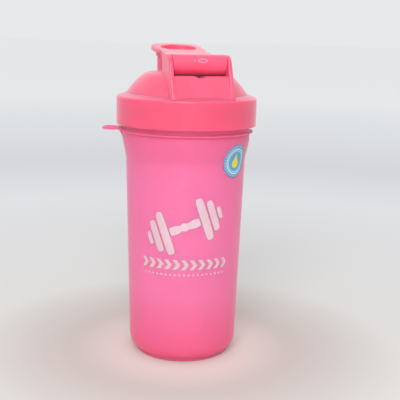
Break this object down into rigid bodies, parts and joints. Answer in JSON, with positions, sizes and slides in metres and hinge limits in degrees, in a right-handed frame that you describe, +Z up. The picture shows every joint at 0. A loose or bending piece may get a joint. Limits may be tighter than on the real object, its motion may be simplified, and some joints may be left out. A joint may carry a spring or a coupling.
{
  "type": "protein shaker bottle",
  "caption": "Tall tapered shaker cup with a hanging loop, a screw lid with a domed top, a spout closed by a hinged flip cap, and a mixing strainer inside.",
  "frame": {"origin": "centre of the base, on the plane that the bottle stands on and on the cup's axis", "axes": "+Z up the cup's axis to the lid, -Y to the printed front, -X to the hanging loop"},
  "size_m": [0.116, 0.105, 0.235],
  "materials": {
    "cup_plastic": "translucent pink polypropylene, satin",
    "lid_plastic": "opaque pink polypropylene, fine satin",
    "strainer_plastic": "moulded polypropylene, satin",
    "soft_seal": "soft translucent elastomer",
    "sticker_film": null
  },
  "bodies": {
    "cup": {"cup": "cup_plastic", "strainer": "strainer_plastic", "label_sticker": "sticker_film"},
    "seal": {"lid_gasket": "soft_seal"},
    "lid": {"lid": "lid_plastic", "hinge_pin": "lid_plastic"},
    "flip": {"flip_cap": "lid_plastic", "spout_plug": "soft_seal"}
  },
  "joints": [
    {"name": "lid_lift", "type": "slide", "parent": "cup", "child": "seal", "axis": [0, 0, 1], "range_m": [0, 0.00625]},
    {"name": "lid_turn", "type": "hinge", "parent": "seal", "child": "lid", "pos_m": [0, 0, 0.186], "axis": [0, 0, 1], "range_deg": [0, 450]},
    {"name": "flip_open", "type": "hinge", "parent": "lid", "child": "flip", "pos_m": [0.00818, -0.02761, 0.221], "axis": [0.9588, 0.284, 0], "range_deg": [0, 180]}
  ],
  "couplings": [
    {"joint": "lid_lift", "follows": "lid_turn", "m_per_rad": 0.00079577}
  ]
}
